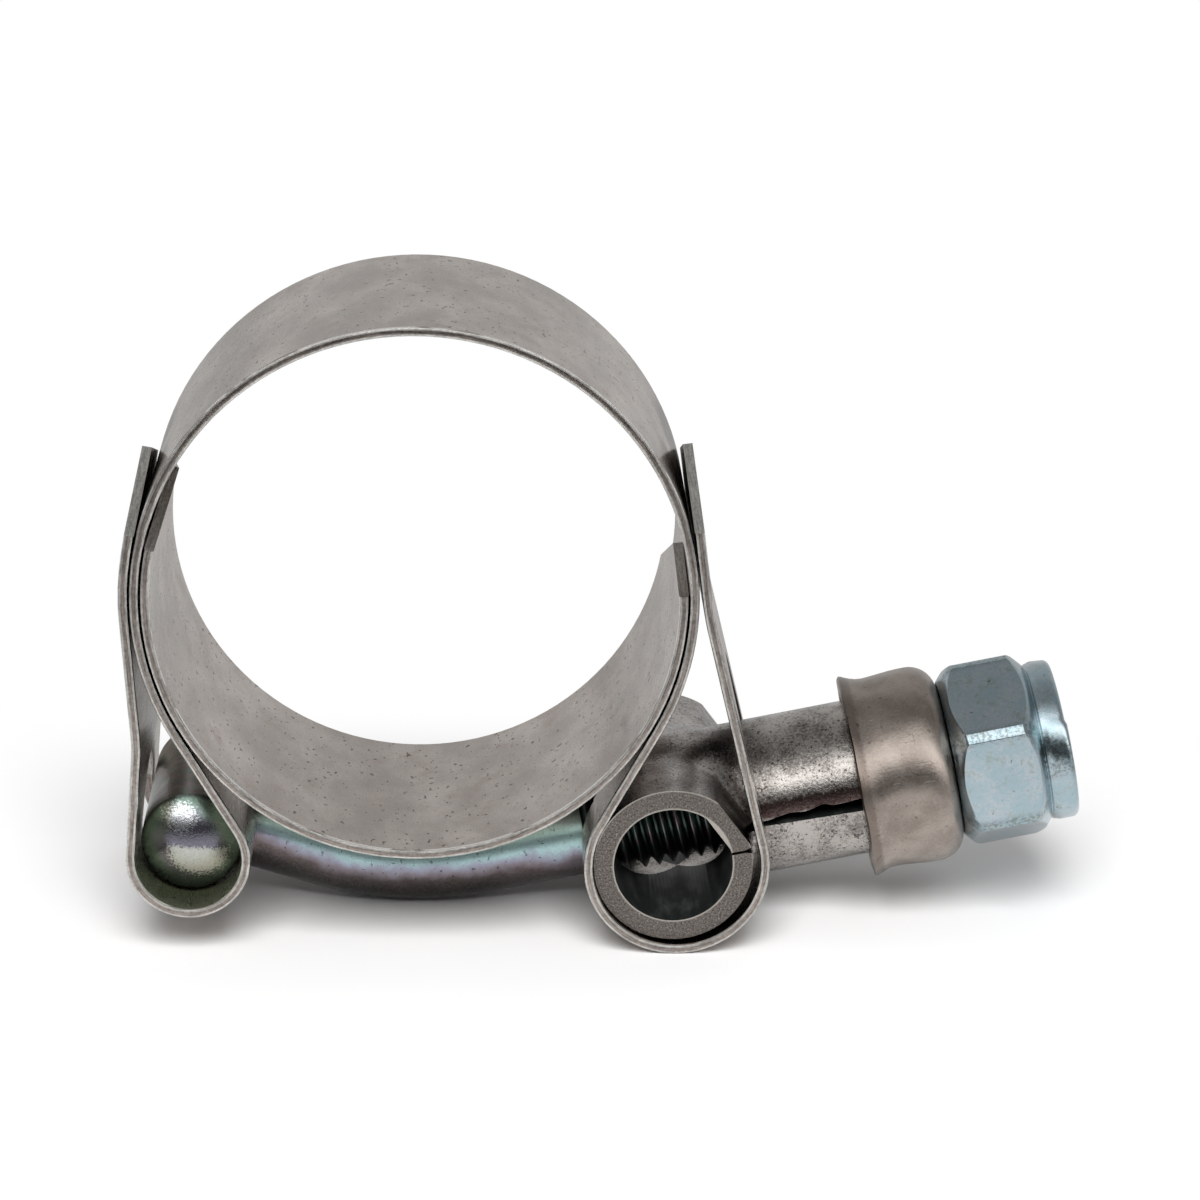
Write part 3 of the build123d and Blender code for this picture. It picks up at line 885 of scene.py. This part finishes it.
def domedHead(name):
    half = boltCut["headLength"] / 2
    flat = half - boltCut["dome"]
    radius = boltCut["headRadius"]
    ball = (radius**2 + boltCut["dome"] ** 2) / (2 * boltCut["dome"])
    rim = asin(radius / ball)
    fresh()
    bpy.ops.mesh.primitive_cylinder_add(vertices=72, radius=radius * mm, depth=2 * flat * mm)
    piece = named(name)
    lay(piece, facing(headPoint, Vector((0, 0, 1)), Vector((1, 0, 0))))
    edit()
    for side in (-1, 1):
        pick("faces", lambda face: face.normal.y * side > 0.9)
        before = rim
        rings = boltCut["domeRings"]
        for ring in range(1, rings + 1):
            now = rim * (1 - ring / rings) if ring < rings else rim * boltCut["domeTip"]
            rise = ball * (cos(now) - cos(before))
            push(Vector((0, side * rise, 0)))
            size = sin(now) / sin(before)
            bpy.ops.transform.resize(value=(size, 1, size), center_override=headPoint * mm)
            before = now
    outwards()
    done()
    return piece


def bentShank(name):
    shankWay = ray(boltCut["shankHeading"])
    bend = layout["boltAngle"] - boltCut["shankHeading"]
    run = (trunnionPoint - headPoint).dot(boltUp) / shankWay.dot(boltUp)  # to where it meets the bolt's line
    knee = headPoint + shankWay * run
    trim = boltCut["bendRadius"] * tan(radians(bend / 2))
    start = trunnionPoint + boltWay * (boltCut["threadStart"] + boltCut["overlap"])
    fresh()
    bpy.ops.mesh.primitive_circle_add(vertices=48, radius=boltCut["shankRadius"] * mm, fill_type="NGON")
    piece = named(name)
    lay(piece, facing(headPoint, hoseWay, shankWay.cross(hoseWay)))
    edit()
    bpy.ops.mesh.select_all(action="SELECT")
    push(shankWay * (run - trim))
    centre = headPoint + shankWay * (run - trim) + ray(boltCut["shankHeading"] + 90) * boltCut["bendRadius"]
    bpy.ops.mesh.spin(steps=14, angle=radians(bend), center=centre * mm, axis=hoseWay)
    push(boltWay * ((start - knee).length - trim))
    outwards()
    done()
    return piece


def rolledThread(name):
    pitch = boltCut["pitch"]
    crest = boltCut["threadRadius"]
    root = crest - boltCut["threadDepth"] * pitch
    length = boltCut["threadEnd"] - boltCut["threadStart"]
    fresh()
    bpy.ops.mesh.primitive_plane_add(size=0.01 * mm, location=(root * mm, 0, 0))
    piece = named(name)
    settle()
    edit()
    bpy.ops.mesh.select_mode(type="VERT")
    bpy.ops.mesh.select_all(action="SELECT")
    bpy.ops.mesh.merge(type="CENTER")
    soft = boltCut["threadSoft"]
    flank = crest - root - soft
    for out, share in ((0, 0.10), (flank, 0.36), (soft, 0.04), (0, 0.06), (-soft, 0.04), (-flank, 0.36), (0, 0.04)):
        push(Vector((out, 0, share * pitch)))
    done()
    steps, turns = boltCut["threadSteps"], int(length / pitch) + 3
    screw = {"steps": steps, "render_steps": steps, "screw_offset": pitch * mm, "iterations": turns}
    merge = {"use_merge_vertices": True, "merge_threshold": 0.0005 * mm}
    modify(piece, "SCREW", axis="Z", use_normal_calculate=True, **screw, **merge)
    edit()
    outwards()
    bpy.ops.mesh.fill_holes(sides=0)
    bpy.ops.mesh.normals_make_consistent(inside=False)
    if bmesh.from_edit_mesh(piece.data).calc_volume(signed=True) < 0:
        bpy.ops.mesh.flip_normals()
    done()
    skip = 1.2 * pitch  # the screw's first turn is cut off
    blank = rod("threadBlank", crest + 0.02, skip, skip + length, vertices=72)
    edit()
    pick("edges", lambda edge: edge.calc_face_angle(0) > 1)
    bpy.ops.mesh.bevel(offset=boltCut["chamfer"] * mm, segments=1)
    done()
    combine(piece, blank, "INTERSECT")
    lay(piece, Matrix.Translation((0, 0, -skip * mm)))
    lay(piece, alongBolt(boltCut["threadStart"]))
    return piece


bolt = domedHead("tBolt")
combine(bolt, bentShank("shank"), "UNION")
thread = rolledThread("thread")
sound(thread)
combine(bolt, thread, "UNION")
sound(bolt)
stamp(bolt, "film", lambda vert: vert.normal)
threaded = boltCut["threadStart"] + boltCut["overlap"]
paint(
    bolt,
    "zinc",
    ("dome", lambda face: abs(face.center.y) > boltCut["domeStart"] * mm),
    ("thread", lambda face: (face.center / mm - trunnionPoint).dot(boltWay) > threaded),
)
shade(bolt, 40)
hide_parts("t_bolt")
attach(bolt, "t_bolt")
print("bolt forged")

# The trunnion: a barrel and a stem folded from one sheet
trunnionCut = {
    "radius": 4.95,
    "wall": 1.25,
    "length": 18.0,
    "stemEnd": 17.35,
    "lipStart": 62.0,
    "lipEnd": 21.0,
    "blend": 1.1,
    "voxel": 0.22,
    "slit": 0.52,
    "slitSteps": 70,
    "seam": 0.16,
    "notch": 0.75,
    "notchDepth": 0.12,
}


def bisected(piece, point, normal):
    takeUp(piece)
    edit()
    bpy.ops.mesh.select_all(action="SELECT")
    bpy.ops.mesh.bisect(plane_co=point * mm, plane_no=normal, use_fill=True, clear_outer=True, threshold=0.0005 * mm)
    outwards()
    done()


barrelPlace = facing(trunnionPoint, Vector((1, 0, 0)), Vector((0, 0, -1)))
lipMiddle = (trunnionCut["lipStart"] + trunnionCut["lipEnd"]) / 2
lipShare = cos(radians((trunnionCut["lipStart"] - trunnionCut["lipEnd"]) / 2))


def rounding(point):  # distance from the folded sheet's outer skin, with the stem's root rounded
    local = point / mm - trunnionPoint
    radius = trunnionCut["radius"]
    along = local.dot(boltWay)
    barrel = max(hypot(local.x, local.z) - radius, local.dot(ray(lipMiddle)) - lipShare * radius)
    stem = hypot(local.dot(boltUp), local.y, min(along, 0)) - radius
    blend = trunnionCut["blend"]
    overlap = max(blend - abs(barrel - stem), 0) / blend
    return min(barrel, stem) - overlap * overlap * blend / 4


def makeTrunnion():
    radius = trunnionCut["radius"]
    inner = radius - trunnionCut["wall"]
    half = trunnionCut["length"] / 2
    stemEnd = trunnionCut["stemEnd"]
    skin = rod("foldedTrunnion", radius, -half - 1, half + 1, barrelPlace)
    stem = rod("stem", radius, 0, stemEnd + 1, alongBolt(0))
    combine(skin, stem, "UNION")
    modify(skin, "REMESH", mode="VOXEL", voxel_size=trunnionCut["voxel"] * mm)
    probe = 0.02 * mm
    for vert in skin.data.vertices:
        local = vert.co / mm - trunnionPoint
        if abs(local.y) > half + 0.5 or local.dot(boltWay) > stemEnd + 0.5:
            continue  # cut off further down
        for again in range(3):
            off = rounding(vert.co)
            steps = (Vector(way) * probe for way in ((1, 0, 0), (0, 1, 0), (0, 0, 1)))
            slope = Vector([rounding(vert.co + step) - off for step in steps])
            if slope.length < 1e-6 or abs(off) > 0.8:
                break
            vert.co -= slope.normalized() * off * mm
    fresh()
    bpy.ops.mesh.primitive_cube_add(size=1)
    envelope = named("envelope")
    reach = stemEnd + 2 * radius
    size = Matrix.Diagonal((2 * half * mm, 4 * radius * mm, reach * mm, 1))
    lay(envelope, alongBolt(stemEnd - reach / 2) @ size)
    combine(skin, envelope, "INTERSECT")
    hollow = rod("hollow", inner, -half - 1, half + 1, barrelPlace)
    bisected(hollow, trunnionPoint + ray(lipMiddle) * lipShare * inner, ray(lipMiddle))
    combine(skin, hollow, "DIFFERENCE")
    combine(skin, rod("bore", inner, -radius - 1, stemEnd + 1, alongBolt(0)), "DIFFERENCE")
    cutters = (
        ("slit", radius * 2 + 1, trunnionCut["slit"], stemEnd + 2),
        ("seam", half * 2 + 1, trunnionCut["seam"], radius + 1),
    )
    for name, width, thickness, reach in cutters:
        fresh()
        bpy.ops.mesh.primitive_cube_add(size=1, location=(0, 0, 0.5))
        cutter = named(name)
        settle()
        if name == "slit":
            edit()
            pick("edges", upright)
            bpy.ops.mesh.subdivide(number_cuts=trunnionCut["slitSteps"])
            done()
            for vert in cutter.data.vertices:  # opens towards the stem's end, with a torn upper edge
                x, y, z = vert.co
                torn = noise.noise(Vector((x * 3, y * 5, z * 22))) * 0.7 if z > 0.17 and y > 0 else 0
                vert.co.y *= 0.3 + z * 2.6 + torn
        lay(cutter, alongBolt(inner / 2) @ Matrix.Diagonal((width * mm, thickness * mm, reach * mm, 1)))
        combine(skin, cutter, "DIFFERENCE")
    notchPoint = trunnionPoint + boltWay * (radius + trunnionCut["notchDepth"])
    fresh()
    bpy.ops.mesh.primitive_cylinder_add(vertices=3, radius=trunnionCut["notch"] * mm, depth=(2 * half + 1) * mm)
    notch = named("notch")
    settle()
    lay(notch, facing(notchPoint, boltUp, boltWay * -1) @ Matrix.Diagonal((0.55, 1, 1, 1)))
    combine(skin, notch, "DIFFERENCE")
    return skin


trunnion = makeTrunnion()
sound(trunnion)
boreRadius = trunnionCut["radius"] - trunnionCut["wall"] + 0.05


def inBore(face):
    across = face.center.x / mm - trunnionPoint.x
    height = face.center.z / mm - trunnionPoint.z
    return abs(face.normal.y) < 0.9 and hypot(across, height) < boreRadius


def inSlit(face):
    off = face.center / mm - trunnionPoint
    return abs(face.normal.dot(boltUp)) > 0.7 and abs(off.dot(boltUp)) < 0.8 and off.dot(boltWay) > 5.1


paint(
    trunnion,
    "trunnion",
    ("sawn", lambda face: abs(face.normal.y) > 0.97 and abs(face.center.y) > 8.9 * mm),
    # painted shade in the bore and the slit
    ("bore", lambda face: inBore(face) or inSlit(face)),
)
shade(trunnion, 40)
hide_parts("trunnion")
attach(trunnion, "trunnion")
print("trunnion folded")


# A ring pushed through a row of radii and heights, for turned and drawn pieces
def turnedPiece(name, rings, vertices, matrix=Matrix.Identity(4)):
    fresh()
    radius, height = rings[0]
    bpy.ops.mesh.primitive_circle_add(vertices=vertices, radius=radius * mm, location=(0, 0, height * mm))
    piece = named(name)
    settle()
    edit()
    bpy.ops.mesh.select_mode(type="EDGE")
    bpy.ops.mesh.select_all(action="SELECT")
    for nextRadius, nextHeight in rings[1:] + rings[:1]:
        bpy.ops.mesh.extrude_region_move(TRANSFORM_OT_translate={"value": (0, 0, (nextHeight - height) * mm)})
        size = nextRadius / radius
        bpy.ops.transform.resize(value=(size, size, 1), center_override=(0, 0, nextHeight * mm))
        radius, height = nextRadius, nextHeight
    outwards()
    done()
    lay(piece, matrix)
    return piece


def arcRings(middle, size, start, end, steps):
    angles = [radians(start + (end - start) * step / steps) for step in range(steps + 1)]
    return [(middle[0] + size * cos(angle), middle[1] + size * sin(angle)) for angle in angles]


# The cap washer, from its mouth up: each curve has a share of the flare or the bulge, and its height
capCut = {
    "mouth": 5.15,
    "wall": 0.95,
    "flare": 0.4,
    "flareCurve": ((0.62, 0.5), (0.3, 0.85), (0.08, 1.2), (0.0, 1.6)),
    "flareHeight": 1.6,
    "bulge": 0.18,
    "bulgeCurve": ((0.15, 2.0), (0.5, 2.7), (0.85, 3.4), (0.97, 3.9)),
    "shoulder": 1.75,
    "hole": 3.425,
    "edge": 0.08,
    "rimHeight": 0.9,
    "rimWaves": 0.09,
}


def makeCap():
    mouth, wall = capCut["mouth"], capCut["wall"]
    hole, edge = capCut["hole"], capCut["edge"]
    outside = mouth + wall
    rim = outside + capCut["flare"]
    belly = outside + capCut["bulge"]
    length, shoulder = layout["capLength"], capCut["shoulder"]
    inner = shoulder - wall
    rings = [(mouth + capCut["flare"] + 0.1, 0), (rim - 0.12, 0), (rim, 0.1), (rim - 0.03, 0.24)]
    rings += [(outside + capCut["flare"] * share, height) for share, height in capCut["flareCurve"]]
    rings += [(outside + capCut["bulge"] * share, height) for share, height in capCut["bulgeCurve"]]
    rings += arcRings((belly - shoulder, length - shoulder), shoulder, 0, 90, 9)
    rings += [(hole + edge, length), (hole, length - edge), (hole, length - wall)]
    rings += [(mouth - inner, length - wall)]
    rings += arcRings((mouth - inner, length - shoulder), inner, 90, 0, 5)[1:]
    rings += [(mouth, capCut["rimHeight"]), (mouth + 0.12, capCut["rimHeight"] / 2)]
    foot = layout["capReach"] - length
    piece = turnedPiece("capWasher", rings, 120, alongBolt(foot))
    base = trunnionPoint + boltWay * foot
    top = capCut["flareHeight"]
    for vert in piece.data.vertices:  # the drawn rim is slightly uneven
        local = vert.co / mm - base
        height = local.dot(boltWay)
        if height < top:
            waver = noise.noise(Vector((local.y * 0.45, local.dot(boltUp) * 0.45, 3.7)))
            vert.co += boltWay * mm * capCut["rimWaves"] * (waver + 0.35) * (1 - height / top)
    return piece


cap = makeCap()
sound(cap)
paint(cap, "cap")
shade(cap, 40)
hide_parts("cap_washer")
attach(cap, "cap_washer")
print("cap drawn")

# The lock nut: a hexagon with chamfered ends and a collar that is crimped on one side
nutCut = {
    "acrossFlats": 10.87,
    "hexLength": 5.7,
    "acrossCorners": 12.2,
    "cornerBevel": 0.42,
    "face": 4.85,
    "chamferAngle": 38.0,
    "collarRadius": 5.13,
    "collarLength": 1.74,
    "neck": 4.93,
    "lip": 0.42,
    "crimp": 0.1,
    "crimpHeight": 0.75,
    "crimpAngles": (33, 150),
    "crimpShare": 0.988,
    "bore": 3.295,
    "boreChamfer": 0.35,
    "edge": 0.07,
    "gap": 0.01,  # so that the nut's face doesn't cut into the cap's
}


def makeNut():
    length = nutCut["hexLength"]
    fresh()
    bpy.ops.mesh.primitive_cylinder_add(
        vertices=6,
        radius=nutCut["acrossFlats"] / 2 / cos(radians(30)) * mm,
        depth=length * mm,
        location=(0, 0, length / 2 * mm),
    )
    hexagon = named("lockNut")
    settle()
    edit()
    pick("edges", upright)
    bpy.ops.mesh.bevel(offset=nutCut["cornerBevel"] * mm, segments=5)
    outwards()
    done()
    corner = nutCut["acrossCorners"] / 2
    face = nutCut["face"]
    drop = (corner - face) * tan(radians(nutCut["chamferAngle"]))
    blank = [(1, 0), (face, 0), (face + 0.12, 0.04), (corner - 0.1, drop - 0.04), (corner, drop + 0.1)]
    blank += [(corner, length - drop - 0.1), (corner - 0.1, length - drop + 0.04)]
    blank += [(face + 0.12, length - 0.04), (face, length), (1, length)]
    combine(hexagon, turnedPiece("turnedBlank", blank, 96), "INTERSECT")
    top = length + nutCut["collarLength"]
    radius = nutCut["collarRadius"]
    neck, lip = nutCut["neck"], nutCut["lip"]
    rings = [(1, length - 0.5), (neck, length - 0.5), (neck, length), (neck + 0.1, length + 0.12)]
    rings += [(radius - 0.08, length + 0.26), (radius - 0.02, length + 0.38), (radius, length + 0.5)]
    rings += arcRings((radius - lip, top - lip), lip, 0, 90, 6)
    rings += [(radius - 1.1, top), (radius - 1.35, top - 0.12), (1, top - 0.12)]
    collar = turnedPiece("collar", rings, 96)
    low, high = nutCut["crimpAngles"]
    for vert in collar.data.vertices:  # the crimped part of the collar's end stands a little lower
        angle = degrees(atan2(vert.co.y, -vert.co.x))
        if vert.co.z > (top - nutCut["crimpHeight"]) * mm and low < angle < high:
            vert.co.z -= nutCut["crimp"] * mm
            vert.co.x *= nutCut["crimpShare"]
            vert.co.y *= nutCut["crimpShare"]
    combine(hexagon, collar, "UNION")
    hole = nutCut["bore"]
    mouth = hole + nutCut["boreChamfer"]
    bore = [(0.5, -1), (mouth, -1), (mouth, 0), (hole, nutCut["boreChamfer"]), (hole, top + 1), (0.5, top + 1)]
    combine(hexagon, turnedPiece("nutBore", bore, 72), "DIFFERENCE")
    bevel = {"width": nutCut["edge"] * mm, "segments": 2, "limit_method": "ANGLE", "angle_limit": radians(24)}
    modify(hexagon, "BEVEL", **bevel, use_clamp_overlap=True)
    lay(hexagon, alongBolt(layout["capReach"] + nutCut["gap"]))
    return hexagon


nut = makeNut()
sound(nut)
paint(nut, "nut")
shade(nut, 32)
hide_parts("lock_nut")
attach(nut, "lock_nut")
print("nut turned")

# Floor, light and camera, in metres. Reflected rays see the room, from its dark front over its
# bright panel to its grey back, and the camera sees white.
stageLook = {
    "floorSize": 3.0,
    "frontEdge": -0.085,
    "floorColour": rgb(0.86, 0.86, 0.86),
    "farWhite": rgb(0.6, 0.6, 0.6),
    "fadeOut": (0.045, 0.10),  # from the bore's middle
    "fadeBack": (0.010, 0.036),
    "white": rgb(1, 1, 1),
    "sky": rgb(0.34, 0.34, 0.34),
    "roomLevel": 2.7,
    "room": (
        (0.0, 0.03), (0.09, 0.035), (0.115, 0.20), (0.15, 0.8), (0.21, 0.95), (0.28, 0.62),
        (0.34, 0.26), (0.42, 0.115), (0.60, 0.13), (0.72, 0.20), (0.93, 0.215), (1.0, 0.27),
    ),
    "lamps": (("keyPanel", (-0.03, -0.31, 0.36), 2.9), ("backPanel", (0.05, 0.16, 0.42), 0.2)),
    "lampSize": 0.30,
    "lampTarget": (0.005, 0, -0.005),
}


def paperFloor(wire, look):
    near = wire.node("BsdfDiffuse", {"Color": look["floorColour"]})
    seen = wire.node("LightPath", out="Is Camera Ray")
    white = wire.node("Emission", {"Color": seen.mixed(look["farWhite"], look["white"]), "Strength": 1.0})
    place = wire.node("TexCoord", out="Object")
    far = place.far().band(*look["fadeOut"]).atLeast(place.part(1).band(*look["fadeBack"]))
    return wire.node("MixShader", {0: far, 1: near, 2: white})


fresh()
bpy.ops.mesh.primitive_plane_add(size=stageLook["floorSize"])
floor = named("paperFloor")
lay(floor, Matrix.Translation((0, stageLook["floorSize"] / 2 + stageLook["frontEdge"], 0)))
restTurn = Matrix.Rotation(-radians(layout["restTilt"]), 4, "Y")
lay(floor, Matrix.Translation(spot(layout["restPoint"]) * mm) @ restTurn)
floor.data.materials.append(newMaterial("whitePaper", paperFloor, stageLook))
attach(floor, "trunnion")  # the right-hand loop goes down as the clamp closes, and the floor with it

world = bpy.data.worlds.new("whiteStudio")
bpy.context.scene.world = world
world.use_nodes = True
world.node_tree.nodes.clear()
sky = Wire(world.node_tree)
rays = sky.node("LightPath", out="Is Camera Ray") + sky.node("LightPath", out="Is Transmission Ray")
glossy = sky.node("LightPath", out="Is Glossy Ray")
way = sky.node("TexCoord", out="Generated")
climb = sky.sum("ARCTAN2", way.part(2), way.part(1) * -1) / radians(180)  # 0 in front, 0.5 overhead, 1 behind
room = climb.ramp(stageLook["room"]).scaled([stageLook["roomLevel"]] * 3)
light = rays.atMost(1.0).mixed(glossy.mixed(stageLook["sky"], room), stageLook["white"])
sky.node("OutputWorld", {"Surface": sky.node("Background", {"Color": light, "Strength": 1.0})})

for name, place, watts in stageLook["lamps"]:
    fresh()
    bpy.ops.object.light_add(type="AREA", location=place)
    lamp = bpy.context.object
    lamp.name = name
    lamp.data.size = stageLook["lampSize"]
    lamp.data.energy = watts
    lamp.visible_glossy = False  # reflections show the room's panel instead
    aim = Vector(stageLook["lampTarget"]) - Vector(place)
    lamp.rotation_euler = aim.to_track_quat("-Z", "Y").to_euler()

# The camera, in millimetres and degrees. Its lens is 3860 dots long on a picture 1200 dots wide.
cameraLook = {
    "down": 18.0,
    "yaw": 3.4,
    "roll": 5.55,
    "distance": 243.6,
    "target": (11.7, 0, -1.88),
    "sensor": 36,
    "lens": 3860 / 1200 * 36,
}
tilt, yaw, roll = (radians(cameraLook[key]) for key in ("down", "yaw", "roll"))
sight = Vector((sin(yaw) * cos(tilt), cos(yaw) * cos(tilt), -sin(tilt)))
level = Vector((cos(yaw), -sin(yaw), 0))
above = level.cross(sight)
across = level * cos(roll) + above * sin(roll)
up = above * cos(roll) - level * sin(roll)
stand = Matrix.Translation((Vector(cameraLook["target"]) - sight * cameraLook["distance"]) * mm)
fresh()
bpy.ops.object.camera_add()
camera = bpy.context.object
camera.matrix_world = stand @ Matrix((across, up, -sight)).transposed().to_4x4()
camera.data.lens = cameraLook["lens"]
camera.data.sensor_width = cameraLook["sensor"]
camera.data.clip_start = 0.01
camera.data.clip_end = 20
bpy.context.scene.camera = camera
bpy.context.scene.view_settings.view_transform = "Standard"

print("stage set")
